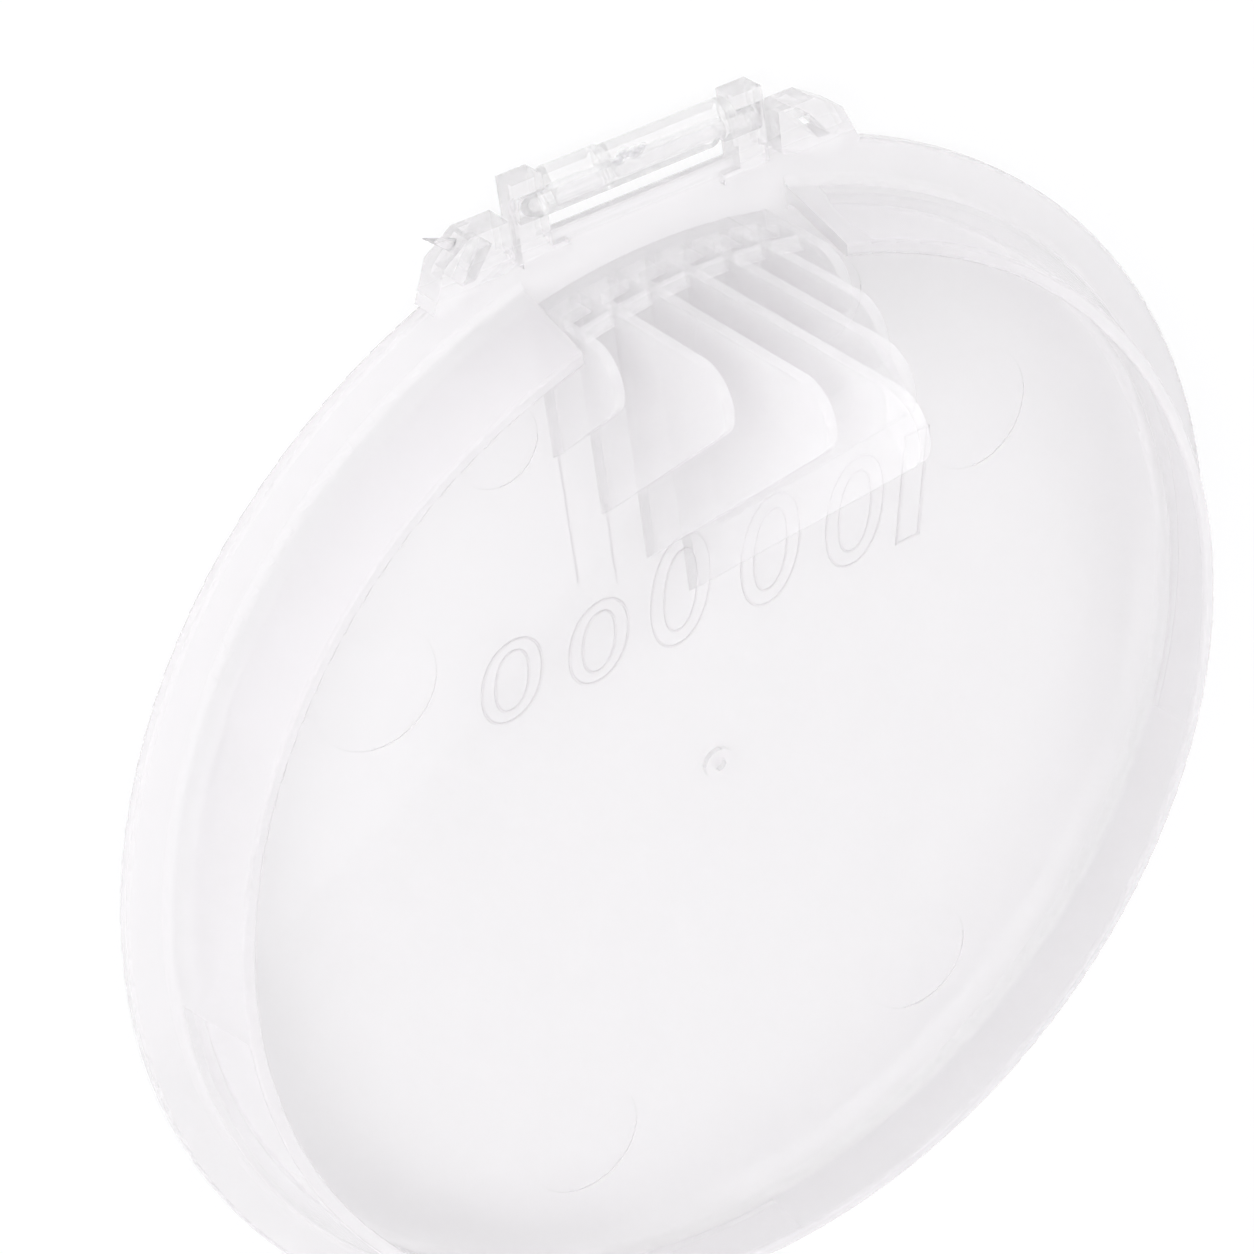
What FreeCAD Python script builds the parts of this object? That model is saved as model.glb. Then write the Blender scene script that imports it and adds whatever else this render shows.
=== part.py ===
import FreeCAD, Part
import os
import Sketcher

# Clear round container lid, lying on its outer face with its inner side up.
# Frame: millimetres, +Z up from the outer face, the hinge towards +Y, the origin
# at the centre of the outer face.

sizes = {
    # disc and flange
    "plate_thick": 1.5,
    "flange_radius": 53.4,
    "edge_round": 0.3,
    "gate_radius": 1.4,
    "gate_height": 0.5,
    "gate_pit_radius": 0.6,
    "mark_depth": 0.12,
    "mark_radius": 5.4,
    "mark_circle": 36.0,
    "mark_high": 37.0,
    "mark_low": 60.0,
    "small_mark_radius": 3.6,
    "small_mark_x": 15.2,
    "small_mark_y": 37.2,
    # ring wall, with its gap at the hinge side
    "root_radius": 50.0,
    "free_radius": 47.7,
    "wall_height": 7.6,
    "wall_thick": 1.2,
    "root_fillet": 0.9,
    "gap_left": 11.0,
    "gap_right": 12.6,
    # strainer comb, which stands in the gap
    "comb_radius": 48.1,
    "comb_thick": 1.0,
    "comb_height": 6.2,
    "window_low": 3.1,
    "window_height": 2.4,
    "rib_pitch": 3.4,
    "rib_thick": 0.9,
    "rib_length": 30.9,
    "rib_step": 4.2,
    "rib_curve": 0.6,
    "rib_slope": 51.4,
    "rib_round": 3.0,
    # hinge: ears on the flange, a pin with a bullet nose and two knuckles on it
    "pin_radius": 1.0,
    "pin_nose": 2.0,
    "pin_reach": 6.9,
    "pin_y": 55.1,
    "pin_z": 2.1,
    "fit_clear": 0.04,
    "barrel_radius": 1.7,
    "barrel_shift_y": 0.75,
    "barrel_shift_z": 0.35,
    "barrel_half": 8.1,
    "side_clear": 0.3,
    "short_length": 5.1,
    "short_step": 0.15,
    "knuckle_round": 0.3,
    "stub_length": 1.5,
    "ear_width": 2.6,
    "ear_thick": 2.3,
    "ear_inset": 0.2,
    "foot_length": 1.5,
    "foot_width": 0.9,
    "tab_gap": 1.9,
    # side loops
    "loop_thick": 2.8,
    "loop_near_x": 11.9,
    "loop_near_foot_y": 51.6,
    "loop_top_x": 15.2,
    "loop_top_y": 55.0,
    "loop_side_x": 17.7,
    "loop_side_y": 53.4,
    "loop_foot_x": 19.1,
    "loop_foot_y": 50.2,
    "loop_foot_width": 1.5,
    "loop_foot_depth": 1.0,
    "slot_width": 1.1,
    "slot_top_x": 14.1,
    "slot_low_x": 15.9,
    "slot_margin": 1.1,
    "slot_low_y": 51.6,
}

ribCount = 7
ribReach = ribCount // 2
partFolder = "parts"

doc = FreeCAD.newDocument("container_lid")
sheet = doc.addObject("Spreadsheet::Sheet", "dims")
for row, (alias, value) in enumerate(sizes.items(), start=1):
    sheet.set(f"A{row}", alias)
    sheet.set(f"B{row}", str(value))
    sheet.setAlias(f"B{row}", alias)
doc.recompute()


def makeBody(label):
    body = doc.addObject("PartDesign::Body", label)
    body.Label = label
    body.Placement = FreeCAD.Placement()
    return body


def makeSketch(body, name, role, lift="0"):
    """Sketch on one of the body's own origin planes, lifted along its normal."""
    sketch = body.newObject("Sketcher::SketchObject", name)
    plane = next(f for f in body.Origin.OriginFeatures if f.Role == role)
    sketch.AttachmentSupport = [(plane, "")]
    sketch.MapMode = "FlatFace"
    sketch.setExpression("AttachmentOffset.Base.z", lift)
    doc.recompute()
    return sketch


def value(sketch, expression):
    return float(sketch.evalExpression(expression))


def tiePoint(sketch, geometry, point, x, y):
    """Tie a point to two distances from the sketch's origin."""
    for kind, expression in (("DistanceX", x), ("DistanceY", y)):
        constraint = Sketcher.Constraint(kind, -1, 1, geometry, point, value(sketch, expression))
        index = sketch.addConstraint(constraint)
        sketch.setExpression(f"Constraints[{index}]", expression)


def addPolygon(sketch, corners):
    count = len(corners)
    first = sketch.GeometryCount
    points = [FreeCAD.Vector(value(sketch, x), value(sketch, y), 0) for x, y in corners]
    for i in range(count):
        sketch.addGeometry(Part.LineSegment(points[i], points[(i + 1) % count]), False)
    for i in range(count):
        following = first + (i + 1) % count
        sketch.addConstraint(Sketcher.Constraint("Coincident", first + i, 2, following, 1))
    for i, (x, y) in enumerate(corners):
        tiePoint(sketch, first + i, 1, x, y)


def addRectangle(sketch, x0, y0, x1, y1):
    addPolygon(sketch, [(x0, y0), (x1, y0), (x1, y1), (x0, y1)])


def addCircle(sketch, x, y, radius):
    centre = FreeCAD.Vector(value(sketch, x), value(sketch, y), 0)
    up = FreeCAD.Vector(0, 0, 1)
    circle = sketch.addGeometry(Part.Circle(centre, up, value(sketch, radius)), False)
    tiePoint(sketch, circle, 3, x, y)
    index = sketch.addConstraint(Sketcher.Constraint("Radius", circle, value(sketch, radius)))
    sketch.setExpression(f"Constraints[{index}]", radius)


def checkChange(body, before, sign, name):
    """A feature has to add (+1) or remove (-1) material."""
    change = body.Shape.Volume - before
    if change * sign <= 0:
        raise RuntimeError(f"{name} changed the volume by {change:.3f}")


def extrude(body, kind, name, sketch, length, sign, reverse=False, midplane=False):
    before = body.Shape.Volume if body.Tip else 0.0
    feature = body.newObject(f"PartDesign::{kind}", name)
    feature.Profile = sketch
    feature.Type = 0
    feature.setExpression("Length", length)
    feature.Reversed = reverse
    feature.Midplane = midplane
    doc.recompute()
    checkChange(body, before, sign, name)
    return feature


def pad(body, name, sketch, length, midplane=False):
    return extrude(body, "Pad", name, sketch, length, 1, midplane=midplane)


def pocket(body, name, sketch, length, reverse=False, midplane=False):
    return extrude(body, "Pocket", name, sketch, length, -1, reverse, midplane)


def revolve(body, name, sketch, axis, angle="360", midplane=False):
    before = body.Shape.Volume if body.Tip else 0.0
    feature = body.newObject("PartDesign::Revolution", name)
    feature.Profile = sketch
    feature.ReferenceAxis = (sketch, [axis])
    feature.setExpression("Angle", angle)
    feature.Midplane = midplane
    doc.recompute()
    checkChange(body, before, 1, name)
    return feature


def roundEdges(body, name, base, radius, chosen):
    """Fillet the edges of a feature that a test picks out by their shape."""
    edges = [f"Edge{i}" for i, edge in enumerate(base.Shape.Edges, start=1) if chosen(edge)]
    if not edges:
        raise RuntimeError(f"{name} found no edges")
    fillet = body.newObject("PartDesign::Fillet", name)
    fillet.Base = (base, edges)
    fillet.setExpression("Radius", radius)
    doc.recompute()
    return fillet


def circleAt(radius, height):
    def test(edge):
        box = edge.BoundBox
        level = abs(box.ZMax - height) < 1e-4 and abs(box.ZMin - height) < 1e-4
        return level and abs(box.XMax - radius) < 1e-3
    return test


def anyOf(*tests):
    return lambda edge: any(test(edge) for test in tests)


def size(name):
    return float(sheet.get(name))


# ------------------------------------------------------------------ lid shell
def makeShell():
    """Disc, flange, ring wall, hinge tab with its ears, and the two side loops."""
    body = makeBody("lid_shell")
    wallTop = "dims.plate_thick + dims.wall_height"

    profile = makeSketch(body, "shell_profile", "XZ_Plane")
    addPolygon(profile, [
        ("0", "0"),
        ("dims.flange_radius", "0"),
        ("dims.flange_radius", "dims.plate_thick"),
        ("dims.root_radius", "dims.plate_thick"),
        ("dims.free_radius", wallTop),
        ("dims.free_radius - dims.wall_thick", wallTop),
        ("dims.root_radius - dims.wall_thick", "dims.plate_thick"),
        ("0", "dims.plate_thick"),
    ])
    turned = revolve(body, "shell_turned", profile, "V_Axis")

    plate = size("plate_thick")
    top = plate + size("wall_height")
    outer = size("free_radius")
    inner = outer - size("wall_thick")
    flange = size("flange_radius")
    root = size("root_radius")
    rim = anyOf(circleAt(outer, top), circleAt(inner, top), circleAt(flange, 0), circleAt(flange, plate))
    rims = roundEdges(body, "shell_rims", turned, "dims.edge_round", rim)
    roots = anyOf(circleAt(root, plate), circleAt(root - size("wall_thick"), plate))
    roundEdges(body, "shell_roots", rims, "dims.root_fillet", roots)

    gap = makeSketch(body, "gap_outline", "XY_Plane", "dims.plate_thick")
    gapStart = "dims.free_radius - dims.wall_thick - dims.gap_right"
    addRectangle(gap, "-dims.gap_left", gapStart, "dims.gap_right", "dims.flange_radius")
    pocket(body, "gap_cut", gap, "dims.wall_height + 1", reverse=True)

    tab = makeSketch(body, "tab_outline", "XY_Plane")
    tabEdge = "dims.pin_y - dims.barrel_radius - dims.tab_gap"
    earInner = "dims.barrel_half + dims.side_clear"
    earOuter = f"{earInner} + dims.ear_width"
    addRectangle(tab, f"-({earInner})", tabEdge, earInner, "dims.flange_radius + 1")
    pocket(body, "tab_cut", tab, "dims.plate_thick", reverse=True)

    bead = makeSketch(body, "bead_outline", "YZ_Plane")
    addCircle(bead, tabEdge, "dims.plate_thick / 2", "dims.plate_thick / 2")
    pad(body, "tab_bead", bead, f"2 * ({earInner})", midplane=True)

    ear = makeSketch(body, "ear_outline", "XY_Plane")
    earEnd = "dims.pin_y + dims.barrel_shift_y + dims.barrel_radius - dims.ear_inset"
    footStart = f"{tabEdge} - dims.foot_width"
    addPolygon(ear, [
        (f"{earInner} - dims.foot_length", footStart),
        (earOuter, footStart),
        (earOuter, earEnd),
        (earInner, earEnd),
        (earInner, tabEdge),
        (f"{earInner} - dims.foot_length", tabEdge),
    ])
    earPad = pad(body, "ear_pad", ear, "dims.ear_thick")

    loop = makeSketch(body, "loop_outline", "XY_Plane")
    addPolygon(loop, [
        ("dims.loop_near_x", "dims.loop_near_foot_y"),
        ("dims.loop_foot_x - dims.loop_foot_width", "dims.loop_foot_y - dims.loop_foot_depth"),
        ("dims.loop_foot_x", "dims.loop_foot_y"),
        ("dims.loop_side_x", "dims.loop_side_y"),
        ("dims.loop_top_x", "dims.loop_top_y"),
        ("dims.loop_near_x", "dims.loop_top_y"),
    ])
    slotTop = "dims.loop_top_y - dims.slot_margin"
    addPolygon(loop, [
        ("dims.slot_top_x - dims.slot_width / 2", slotTop),
        ("dims.slot_low_x - dims.slot_width / 2", "dims.slot_low_y"),
        ("dims.slot_low_x + dims.slot_width / 2", "dims.slot_low_y"),
        ("dims.slot_top_x + dims.slot_width / 2", slotTop),
    ])
    loopPad = pad(body, "loop_pad", loop, "dims.loop_thick")

    mirrored = body.newObject("PartDesign::Mirrored", "ears_and_loops")
    mirrored.Originals = [earPad, loopPad]
    side = next(f for f in body.Origin.OriginFeatures if f.Role == "YZ_Plane")
    mirrored.MirrorPlane = (side, [""])
    before = body.Shape.Volume
    body.Tip = mirrored
    doc.recompute()
    checkChange(body, before, 1, "ears_and_loops")

    seat = makeSketch(body, "seat_outline", "YZ_Plane")
    addCircle(seat, "dims.pin_y", "dims.pin_z", "dims.pin_radius + dims.fit_clear")
    reach = f"2 * ({earInner} + dims.pin_nose + dims.side_clear)"
    pocket(body, "ear_seats", seat, reach, midplane=True)

    gate = makeSketch(body, "gate_outline", "XY_Plane", "dims.plate_thick")
    addCircle(gate, "0", "0", "dims.gate_radius")
    addCircle(gate, "0", "0", "dims.gate_pit_radius")
    pad(body, "gate_mark", gate, "dims.gate_height")

    marks = makeSketch(body, "ejector_outline", "XY_Plane", "dims.plate_thick")
    for side in ("", "-"):
        for angle in ("dims.mark_high", "-dims.mark_low"):
            x = f"{side}dims.mark_circle * cos({angle} * 1deg)"
            addCircle(marks, x, f"dims.mark_circle * sin({angle} * 1deg)", "dims.mark_radius")
        addCircle(marks, f"{side}dims.small_mark_x", "dims.small_mark_y", "dims.small_mark_radius")
    pocket(body, "ejector_marks", marks, "dims.mark_depth")
    return body


# --------------------------------------------------------------- strainer comb
def makeComb():
    """Seven upright fins on a low arc wall with a window between each pair."""
    body = makeBody("strainer_comb")

    wall = makeSketch(body, "wall_profile", "YZ_Plane")
    addRectangle(wall, "dims.comb_radius - dims.comb_thick", "dims.plate_thick",
                 "dims.comb_radius", "dims.plate_thick + dims.comb_height")
    spread = f"2 * asin({ribReach} * dims.rib_pitch / dims.comb_radius)"
    revolve(body, "arc_wall", wall, "V_Axis", spread, midplane=True)

    windows = makeSketch(body, "window_outlines", "XZ_Plane")
    low = "dims.plate_thick + dims.window_low"
    for i in range(-ribReach, ribReach):
        addRectangle(windows, f"{i} * dims.rib_pitch + dims.rib_thick / 2", low,
                     f"{i + 1} * dims.rib_pitch - dims.rib_thick / 2", f"{low} + dims.window_height")
    pocket(body, "windows", windows, "dims.comb_radius + 1")

    for i in range(-ribReach, ribReach + 1):
        rib = makeSketch(body, f"rib_profile_{i + ribReach + 1}", "YZ_Plane", f"{i} * dims.rib_pitch")
        back = f"sqrt(dims.comb_radius ^ 2 - ({i} * dims.rib_pitch) ^ 2)"
        length = f"(dims.rib_length - {abs(i)} * dims.rib_step - {i * i} * dims.rib_curve)"
        addPolygon(rib, [
            (back, "dims.plate_thick"),
            (back, f"dims.plate_thick + {length} * tan(dims.rib_slope * 1deg)"),
            (f"{back} - {length}", "dims.plate_thick"),
        ])
        last = pad(body, f"rib_{i + ribReach + 1}", rib, "dims.rib_thick", midplane=True)

    thick = size("rib_thick")
    above = size("plate_thick") + size("comb_height")

    def crest(edge):
        box = edge.BoundBox
        across = abs(box.XLength - thick) < 1e-4
        return across and box.YLength < 1e-4 and box.ZLength < 1e-4 and box.ZMin > above + 1e-3

    roundEdges(body, "rib_corners", last, "dims.rib_round", crest)
    return body


# ----------------------------------------------------------------------- hinge
barrelY = "dims.pin_y + dims.barrel_shift_y"
barrelZ = "dims.pin_z - dims.barrel_shift_z"
shortEnd = "-dims.barrel_half + dims.short_length"


def alongX(kind, name, x, settings):
    """Primitive turned to lie along X, centred on the pin's axis."""
    shape = doc.addObject(kind, name)
    shape.Placement = FreeCAD.Placement(FreeCAD.Vector(), FreeCAD.Rotation(FreeCAD.Vector(0, 1, 0), 90))
    shape.setExpression("Placement.Base.x", x)
    shape.setExpression("Placement.Base.y", "dims.pin_y")
    shape.setExpression("Placement.Base.z", "dims.pin_z")
    for key, expression in settings.items():
        shape.setExpression(key, expression)
    return shape


def makePin():
    """Pin with a bullet nose in the left ear; its other end stops in the long knuckle."""
    noseRoot = "-(dims.barrel_half + dims.side_clear)"
    shaft = alongX("Part::Cylinder", "pin_shaft", noseRoot, {
        "Radius": "dims.pin_radius",
        "Height": "dims.pin_reach - dims.pin_radius + dims.barrel_half + dims.side_clear",
    })
    nose = alongX("Part::Ellipsoid", "pin_nose", noseRoot, {
        "Radius1": "dims.pin_nose",
        "Radius2": "dims.pin_radius",
        "Radius3": "dims.pin_radius",
    })
    end = alongX("Part::Sphere", "pin_end", "dims.pin_reach - dims.pin_radius", {
        "Radius": "dims.pin_radius",
    })
    pin = doc.addObject("Part::MultiFuse", "hinge_pin")
    pin.Label = "hinge_pin"
    pin.Shapes = [shaft, nose, end]
    doc.recompute()
    return pin


def makeKnuckle(label, start, length, radius, bore):
    """Round sleeve beside the pin's axis, bored so that the pin snaps in from the front."""
    body = makeBody(label)
    outline = makeSketch(body, f"{label}_outline", "YZ_Plane", start)
    addCircle(outline, barrelY, barrelZ, radius)
    sleeve = pad(body, f"{label}_sleeve", outline, length)
    roundEdges(body, f"{label}_rounds", sleeve, "dims.knuckle_round", lambda edge: edge.Closed)
    hole = makeSketch(body, f"{label}_bore_outline", "YZ_Plane", start)
    addCircle(hole, "dims.pin_y", "dims.pin_z", "dims.pin_radius + dims.fit_clear")
    pocket(body, f"{label}_bore", hole, bore, reverse=True)
    return body


def makeKnuckles():
    short = makeKnuckle("knuckle_short", "-dims.barrel_half", "dims.short_length",
                        "dims.barrel_radius", "dims.short_length")
    longStart = f"{shortEnd} + dims.side_clear / 2"
    long = makeKnuckle("knuckle_long", longStart, f"dims.barrel_half - ({longStart})",
                       "dims.barrel_radius - dims.short_step",
                       f"dims.pin_reach + dims.fit_clear - ({longStart})")
    stub = makeSketch(long, "stub_outline", "YZ_Plane", "dims.pin_reach + dims.side_clear")
    addCircle(stub, "dims.pin_y", "dims.pin_z", "dims.pin_radius")
    reach = "dims.barrel_half + dims.side_clear + dims.stub_length - dims.pin_reach - dims.side_clear"
    pad(long, "knuckle_stub", stub, reach)
    return [short, long]


parts = [makeShell(), makeComb(), makePin(), *makeKnuckles()]

# ------------------------------------------------------------ checks and files
for item in doc.Objects:
    if "Invalid" in item.State or "Error" in item.State:
        raise RuntimeError(f"{item.Name} failed: {item.State}")
for part in parts:
    shape = part.Shape
    if shape.isNull() or not shape.isValid():
        raise RuntimeError(f"{part.Label} has no valid shape")
os.makedirs(partFolder, exist_ok=True)
for part in parts:
    part.Shape.exportStep(os.path.join(partFolder, f"{part.Label}.step"))
    print(f"{part.Label}: {part.Shape.Volume:.1f} mm3, {len(part.Shape.Solids)} solid(s)")
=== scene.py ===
import math
import bmesh
import bpy
from mathutils import Euler, Matrix, Vector


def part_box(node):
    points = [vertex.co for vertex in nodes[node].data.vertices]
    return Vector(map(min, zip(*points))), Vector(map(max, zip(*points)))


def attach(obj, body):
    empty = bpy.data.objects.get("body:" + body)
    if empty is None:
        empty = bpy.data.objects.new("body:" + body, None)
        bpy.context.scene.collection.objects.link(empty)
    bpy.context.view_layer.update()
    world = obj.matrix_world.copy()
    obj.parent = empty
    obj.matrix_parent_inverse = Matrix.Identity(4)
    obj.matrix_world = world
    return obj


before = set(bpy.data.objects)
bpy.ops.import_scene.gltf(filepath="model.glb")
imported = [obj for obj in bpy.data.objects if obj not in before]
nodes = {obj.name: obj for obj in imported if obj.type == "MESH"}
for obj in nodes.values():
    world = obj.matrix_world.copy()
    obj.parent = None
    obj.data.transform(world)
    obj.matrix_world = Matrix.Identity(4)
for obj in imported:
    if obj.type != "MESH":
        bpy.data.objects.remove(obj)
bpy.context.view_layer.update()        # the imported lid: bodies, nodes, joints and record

mm = 0.001
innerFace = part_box("strainer_comb")[0][2]    # the comb stands on the disc's inner face
print("frame loaded:", ", ".join(sorted(nodes)))


def linear(hexColour):
    # sRGB hex to linear RGBA
    values = [int(hexColour[i:i + 2], 16) / 255 for i in (0, 2, 4)]
    return [v / 12.92 if v <= 0.04045 else ((v + 0.055) / 1.055) ** 2.4 for v in values] + [1.0]


def addNode(tree, kind, settings=None, links=None):
    # settings are the node's own attributes or its inputs; links are inputs fed by a socket
    node = tree.nodes.new(kind)
    for key, setting in (settings or {}).items():
        if isinstance(key, str) and hasattr(node, key):
            setattr(node, key, setting)
        else:
            node.inputs[key].default_value = setting
    for key, socket in (links or {}).items():
        tree.links.new(socket, node.inputs[key])
    return node


def newMaterial(name):
    material = bpy.data.materials.new(name)
    material.use_nodes = True
    material.node_tree.nodes.clear()
    return material, material.node_tree


def giveMaterial(obj, material):
    obj.data.materials.clear()
    obj.data.materials.append(material)


def meshFrom(shape, name):
    mesh = bpy.data.meshes.new(name)
    shape.to_mesh(mesh)
    shape.free()
    return mesh


def addPiece(name, mesh, body, material, smooth=True):
    # a new piece that rides on a body and takes the finish it is given
    piece = bpy.data.objects.new(name, mesh)
    bpy.context.scene.collection.objects.link(piece)
    giveMaterial(piece, material)
    for polygon in mesh.polygons:
        polygon.use_smooth = smooth
    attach(piece, body)


# clarified polypropylene, injection moulded: water-clear in a thick boss, a little milky in a thin wall
moulding = {    # polish marks are finer on a real mould, and are drawn coarse enough to show
    "ior": 1.49, "polishWidth": 2.2, "polishDetail": 3.0,
    "rippleWidth": 7.0, "rippleDetail": 1.5, "rippleHeight": 0.02, "rippleStrength": 0.35,
}
looks = {    # clarity: the light let through; skin: the share of light that the surface acts on at all
    "shell": {"name": "clearPolypropyleneShell", "colour": "F5F3F5", "rough": (0.08, 0.14), "clarity": 0.9,
              "skin": 0.65, "wall": {"start": 51.0, "end": 54.0, "clarity": 0.55}},
    # painted light: the comb's colour is set lighter than the shell's same plastic to paint out the shade
    # between and under its fins
    "comb": {"name": "clearPolypropyleneCombPaintedLift", "colour": "FDFCFD", "rough": (0.10, 0.16), "clarity": 0.45,
             "skin": 0.39},
    "pin": {"name": "clearPolypropylenePin", "colour": "FEFDFE", "rough": (0.02, 0.06), "clarity": 0.9,
            "skin": 0.55},
    "knuckle": {"name": "clearPolypropyleneKnuckle", "colour": "FEFDFE", "rough": (0.03, 0.08),
                "clarity": 0.85, "skin": 0.5},
}


def clearPlastic(look):
    # the eye sees a glossy clear skin with a faint flow ripple, and a gloss that varies a little
    material, tree = newMaterial(look["name"])
    place = addNode(tree, "ShaderNodeTexCoord").outputs["Object"]
    polish = addNode(tree, "ShaderNodeTexNoise", {"Scale": 1 / (moulding["polishWidth"] * mm),
                                                  "Detail": moulding["polishDetail"]}, {"Vector": place})
    gloss = addNode(tree, "ShaderNodeMapRange", {"To Min": look["rough"][0], "To Max": look["rough"][1]},
                    {"Value": polish.outputs["Fac"]})
    flow = addNode(tree, "ShaderNodeTexNoise", {"Scale": 1 / (moulding["rippleWidth"] * mm),
                                                "Detail": moulding["rippleDetail"]}, {"Vector": place})
    bump = addNode(tree, "ShaderNodeBump", {"Strength": moulding["rippleStrength"],
                                            "Distance": moulding["rippleHeight"] * mm},
                   {"Height": flow.outputs["Fac"]})
    shader = addNode(tree, "ShaderNodeBsdfPrincipled", {
        "Base Color": linear(look["colour"]), "IOR": moulding["ior"], "Transmission Weight": look["clarity"],
        "Alpha": look["skin"],
    }, {"Roughness": gloss.outputs["Result"], "Normal": bump.outputs["Normal"]})
    if "wall" in look:
        # the thin disc and ring wall are milky, the solid bosses beside the hinge are clear
        alongY = addNode(tree, "ShaderNodeSeparateXYZ", {}, {"Vector": place}).outputs["Y"]
        clearing = addNode(tree, "ShaderNodeMapRange", {
            "From Min": look["wall"]["start"] * mm, "From Max": look["wall"]["end"] * mm,
            "To Min": look["wall"]["clarity"], "To Max": look["clarity"]}, {"Value": alongY})
        tree.links.new(clearing.outputs["Result"], shader.inputs["Transmission Weight"])
    addNode(tree, "ShaderNodeOutputMaterial", {}, {"Surface": shader.outputs["BSDF"]})
    return material


plastics = {key: clearPlastic(look) for key, look in looks.items()}
finishes = {"lid_shell": "shell", "strainer_comb": "comb", "hinge_pin": "pin", "knuckle_short": "knuckle",
            "knuckle_long": "knuckle"}
for nodeName, key in finishes.items():
    giveMaterial(nodes[nodeName], plastics[key])

voidLook = {"colour": "E8E8EA", "rough": (0.0, 0.06), "unevenWidth": 0.4}


def trappedAir():
    # air void inside the plastic: light bends the other way at its wall, so the eye sees dark-rimmed beads
    material, tree = newMaterial("trappedAir")
    place = addNode(tree, "ShaderNodeTexCoord").outputs["Object"]
    uneven = addNode(tree, "ShaderNodeTexNoise", {"Scale": 1 / (voidLook["unevenWidth"] * mm)},
                     {"Vector": place})
    low, high = voidLook["rough"]
    rough = addNode(tree, "ShaderNodeMapRange", {"To Min": low, "To Max": high},
                    {"Value": uneven.outputs["Fac"]})
    shader = addNode(tree, "ShaderNodeBsdfPrincipled", {
        "Base Color": linear(voidLook["colour"]), "IOR": 1 / moulding["ior"], "Transmission Weight": 1.0,
    }, {"Roughness": rough.outputs["Result"]})
    addNode(tree, "ShaderNodeOutputMaterial", {}, {"Surface": shader.outputs["BSDF"]})
    return material


print("materials done")

digits = {    # glyphs: the digit, its centre x, height and width
    "line": 0.10, "lineFineness": 2, "typeSize": 1.35, "baseline": 13.1, "startX": -17.3,
    "tilt": -1.2, "lean": 0.2,
    "glyphs": (("0", -17.3, 7.2, 5.8), ("0", -9.2, 7.2, 5.8), ("0", -1.2, 9.8, 5.9), ("0", 7.6, 9.8, 6.0),
               ("0", 16.1, 9.8, 6.0), ("1", 22.0, 9.8, 2.6)),
}


def glyphOutline(glyph, centreX, height, width):
    # the outline of one plain digit as a thin round bead, mirrored so that it reads from the outer side
    curve = bpy.data.curves.new("digitOutline", "FONT")
    curve.body = glyph
    curve.size = height * digits["typeSize"] * mm
    curve.fill_mode = "NONE"
    curve.bevel_depth = digits["line"] * mm
    curve.bevel_resolution = digits["lineFineness"]
    source = bpy.data.objects.new("digitSource", curve)
    bpy.context.scene.collection.objects.link(source)
    bpy.context.view_layer.update()
    mesh = bpy.data.meshes.new_from_object(source.evaluated_get(bpy.context.evaluated_depsgraph_get()))
    bpy.data.objects.remove(source)
    xs = [vertex.co.x for vertex in mesh.vertices]
    ys = [vertex.co.y for vertex in mesh.vertices]
    fitX = width * mm / (max(xs) - min(xs))
    fitY = height * mm / (max(ys) - min(ys))
    foot = digits["baseline"] + (centreX - digits["startX"]) * math.tan(math.radians(digits["tilt"]))
    for vertex in mesh.vertices:
        up = (vertex.co.y - min(ys)) * fitY
        across = (vertex.co.x - (max(xs) + min(xs)) / 2) * fitX
        lean = (up - height * mm / 2) * digits["lean"]
        vertex.co = (centreX * mm - across + lean, foot * mm + up, innerFace + vertex.co.z)
    mesh.flip_normals()
    return mesh


def makeDigits():
    # raised outline digits on the inner face
    shape = bmesh.new()
    for row in digits["glyphs"]:
        shape.from_mesh(glyphOutline(*row))
    mesh = meshFrom(shape, "digitOutlines")
    addPiece("digit_outlines", mesh, "lid", plastics["shell"])


makeDigits()

witness = {    # lines: x, and y at both ends
    "width": 0.16, "height": 0.05, "round": 0.02,
    "lines": ((-10.2, 34.6, 22.5), (-6.8, 28.3, 21.0), (10.2, 34.6, 22.5), (6.8, 28.3, 21.0)),
}


def makeWitnessLines():
    # shallow lines that the comb's core leaves on the disc, from the fins' toes
    shape = bmesh.new()
    for x, start, end in witness["lines"]:
        centre = Vector((x * mm, (start + end) / 2 * mm, innerFace))
        size = (witness["width"] * mm, (start - end) * mm, witness["height"] * 2 * mm, 1)
        bmesh.ops.create_cube(shape, size=1, matrix=Matrix.Translation(centre) @ Matrix.Diagonal(size))
    bmesh.ops.bevel(shape, geom=shape.edges[:], offset=witness["round"] * mm, segments=1)
    addPiece("witness_lines", meshFrom(shape, "witnessLines"), "lid", plastics["shell"],
             smooth=False)


makeWitnessLines()

bubbles = {    # places: x, y, z and radius
    "stretch": 1.5, "fineness": 3,
    "places": ((-2.1, 56.0, 2.3, 0.30), (-1.35, 56.1, 1.9, 0.36), (-0.6, 56.1, 2.2, 0.42),
               (0.2, 56.2, 2.1, 0.22)),
}


def makeBubbles():
    # voids that shrinkage leaves in the thick knuckle
    shape = bmesh.new()
    for x, y, z, radius in bubbles["places"]:
        size = (radius * bubbles["stretch"] * mm, radius * mm, radius * mm, 1)
        place = Matrix.Translation(Vector((x, y, z)) * mm) @ Matrix.Diagonal(size)
        bmesh.ops.create_icosphere(shape, subdivisions=bubbles["fineness"], radius=1, matrix=place)
    mesh = meshFrom(shape, "knuckleVoids")
    addPiece("knuckle_voids", mesh, "hinge", trappedAir())


makeBubbles()

spike = {"base": (-16.0, 54.3, 1.6), "tip": (-18.3, 55.7, 1.5), "radius": 0.55, "tipRadius": 0.03,
         "flatten": 0.45, "sides": 24}


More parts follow.
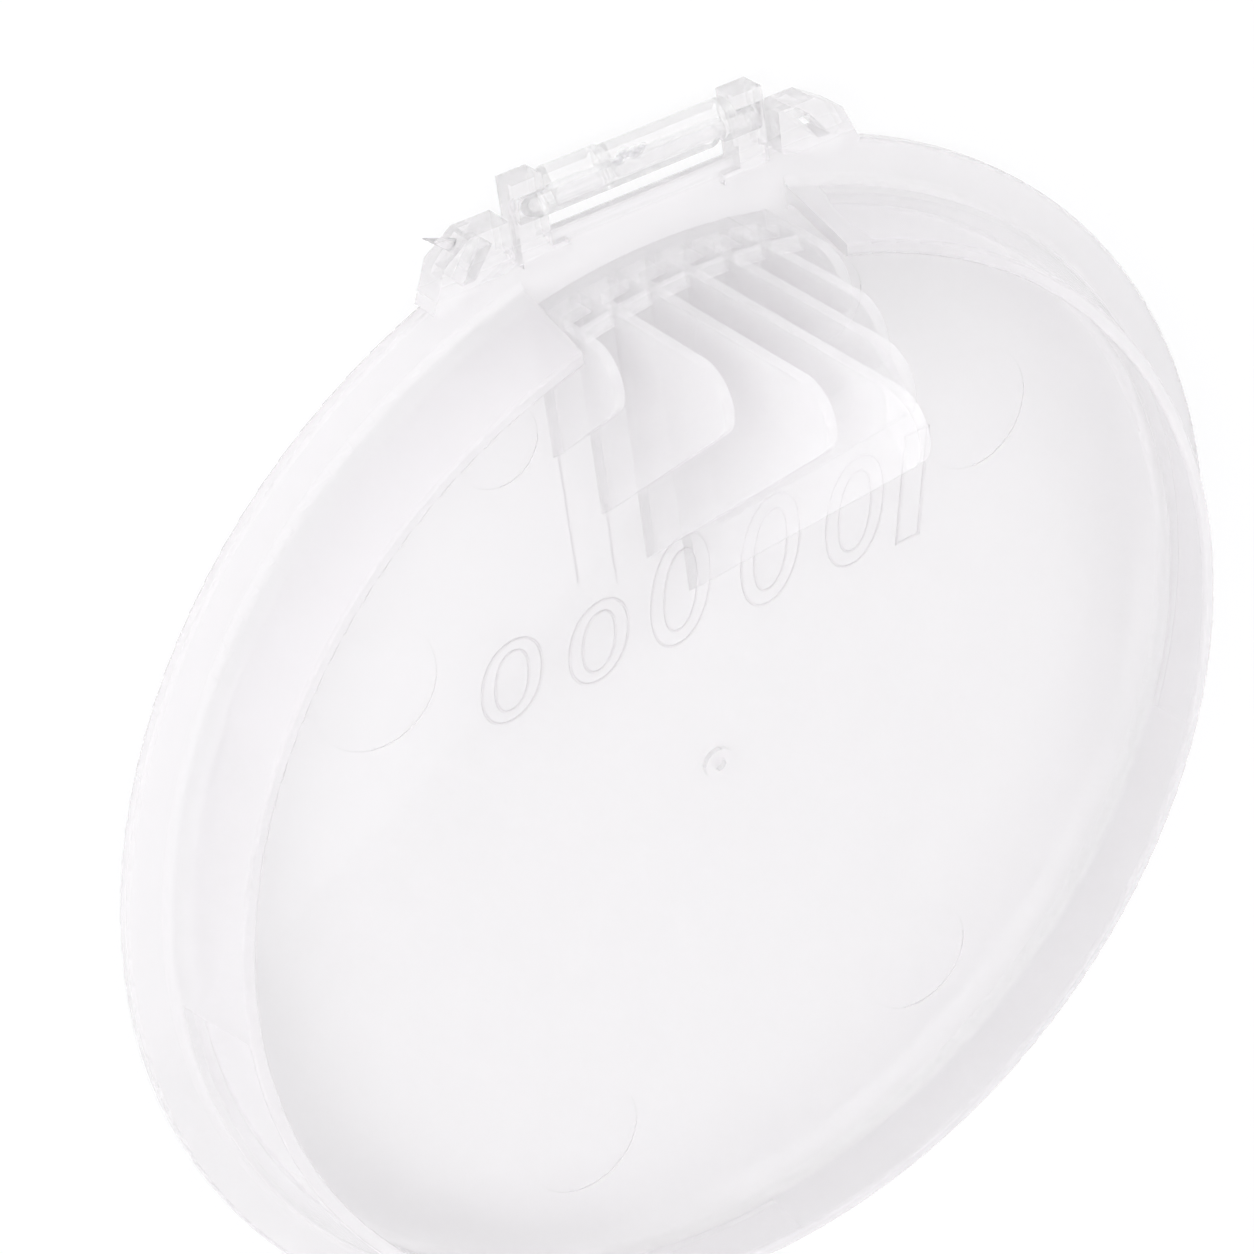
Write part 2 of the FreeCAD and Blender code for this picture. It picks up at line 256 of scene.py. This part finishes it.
def makeFlashSpike():
    # sliver of flash left on the corner of the left loop
    base = Vector(spike["base"]) * mm
    tip = Vector(spike["tip"]) * mm
    along = tip - base
    shape = bmesh.new()
    turn = along.to_track_quat("Z", "Y").to_matrix().to_4x4()
    place = Matrix.Translation(base + along / 2) @ turn @ Matrix.Diagonal((1, spike["flatten"], 1, 1))
    bmesh.ops.create_cone(shape, cap_ends=True, segments=spike["sides"], radius1=spike["radius"] * mm,
                          radius2=spike["tipRadius"] * mm, depth=along.length, matrix=place)
    mesh = meshFrom(shape, "flashSpike")
    addPiece("flash_spike", mesh, "lid", plastics["shell"])


makeFlashSpike()
print("moulded details done")

studio = {
    "floorSize": 6.0, "floorDrop": 0.02, "floorPaint": "FBFBFB", "floorFaint": "5A5A5C", "floorGlow": 0.88,
    "skyTop": "FFFFFF", "skyEdge": "E4E4E6", "skyWhiteFrom": 0.75, "skyPower": 1.0,
}


def viewRays(tree):
    # 1 for rays from the camera and for what gloss and clear plastic show
    path = addNode(tree, "ShaderNodeLightPath")
    through = addNode(tree, "ShaderNodeMath", {"operation": "ADD", "use_clamp": True},
                      {0: path.outputs["Is Camera Ray"], 1: path.outputs["Is Transmission Ray"]})
    return addNode(tree, "ShaderNodeMath", {"operation": "ADD", "use_clamp": True},
                   {0: through.outputs[0], 1: path.outputs["Is Glossy Ray"]}).outputs[0]


def makeFloor():
    # plain pale floor that stays white to the eye and keeps a faint shadow
    half = studio["floorSize"] / 2
    drop = -studio["floorDrop"] * mm
    mesh = bpy.data.meshes.new("floor")
    mesh.from_pydata([(-half, -half, drop), (half, -half, drop), (half, half, drop), (-half, half, drop)], [],
                     [(0, 1, 2, 3)])
    floor = bpy.data.objects.new("floor", mesh)
    bpy.context.scene.collection.objects.link(floor)
    material, tree = newMaterial("paleFloor")
    paint = addNode(tree, "ShaderNodeBsdfDiffuse", {"Color": linear(studio["floorPaint"])})
    faint = addNode(tree, "ShaderNodeBsdfDiffuse", {"Color": linear(studio["floorFaint"])})
    glow = addNode(tree, "ShaderNodeEmission", {"Color": linear("FFFFFF"), "Strength": studio["floorGlow"]})
    seen = addNode(tree, "ShaderNodeAddShader", {}, {0: faint.outputs[0], 1: glow.outputs[0]})
    mixed = addNode(tree, "ShaderNodeMixShader", {},
                    {0: viewRays(tree), 1: paint.outputs[0], 2: seen.outputs[0]})
    addNode(tree, "ShaderNodeOutputMaterial", {}, {"Surface": mixed.outputs[0]})
    giveMaterial(floor, material)


makeFloor()


def makeWorld():
    # pale sky, white overhead and a little greyer at the horizon, which clear edges pick up
    world = bpy.data.worlds.new("studio")
    bpy.context.scene.world = world
    world.use_nodes = True
    tree = world.node_tree
    tree.nodes.clear()
    place = addNode(tree, "ShaderNodeTexCoord").outputs["Generated"]
    height = addNode(tree, "ShaderNodeSeparateXYZ", {}, {"Vector": place}).outputs["Z"]
    rise = addNode(tree, "ShaderNodeMapRange", {"From Max": studio["skyWhiteFrom"]}, {"Value": height})
    sky = addNode(tree, "ShaderNodeMix", {"data_type": "RGBA", 6: linear(studio["skyEdge"]),
                                          7: linear(studio["skyTop"])}, {0: rise.outputs["Result"]})
    path = addNode(tree, "ShaderNodeLightPath")
    lit = addNode(tree, "ShaderNodeBackground", {"Strength": studio["skyPower"]}, {"Color": sky.outputs[2]})
    white = addNode(tree, "ShaderNodeBackground", {"Color": linear("FFFFFF"), "Strength": studio["skyPower"]})
    mixed = addNode(tree, "ShaderNodeMixShader", {},
                    {0: path.outputs["Is Camera Ray"], 1: lit.outputs[0], 2: white.outputs[0]})
    addNode(tree, "ShaderNodeOutputWorld", {}, {"Surface": mixed.outputs[0]})


makeWorld()

lamps = {
    "keySoftbox": {"at": (-0.42, 0.10, 0.40), "size": 0.30, "power": 1.3},
    "fillSoftbox": {"at": (0.35, 0.45, 0.35), "size": 0.22, "power": 0.7},
}
for lampName, look in lamps.items():
    light = bpy.data.lights.new(lampName, "AREA")
    light.size = look["size"]
    light.energy = look["power"]
    lamp = bpy.data.objects.new(lampName, light)
    lamp.location = look["at"]
    lamp.rotation_euler = (-Vector(look["at"])).to_track_quat("-Z", "Y").to_euler()
    lamp.visible_glossy = False    # no square glare on the flat disc, outside or inside
    lamp.visible_transmission = False
    bpy.context.scene.collection.objects.link(lamp)

view = {"at": (-0.10964, 0.15865, 0.18812), "turn": (-29.309, -33.341, -8.413), "lens": 93.1, "sensor": 36,
        "near": 0.01}
cameraData = bpy.data.cameras.new("camera")
cameraData.sensor_width = view["sensor"]
cameraData.lens = view["lens"]
cameraData.clip_start = view["near"]
camera = bpy.data.objects.new("camera", cameraData)
camera.location = view["at"]
camera.rotation_euler = Euler([math.radians(angle) for angle in view["turn"]], "XYZ")
bpy.context.scene.collection.objects.link(camera)
bpy.context.scene.camera = camera
bpy.context.scene.view_settings.view_transform = "Standard"

lightPaths = {"max_bounces": 32, "transmission_bounces": 32, "glossy_bounces": 16, "diffuse_bounces": 16,
              "transparent_max_bounces": 64}    # light crosses up to fourteen fin faces
for setting, count in lightPaths.items():
    setattr(bpy.context.scene.cycles, setting, count)
print("studio done")
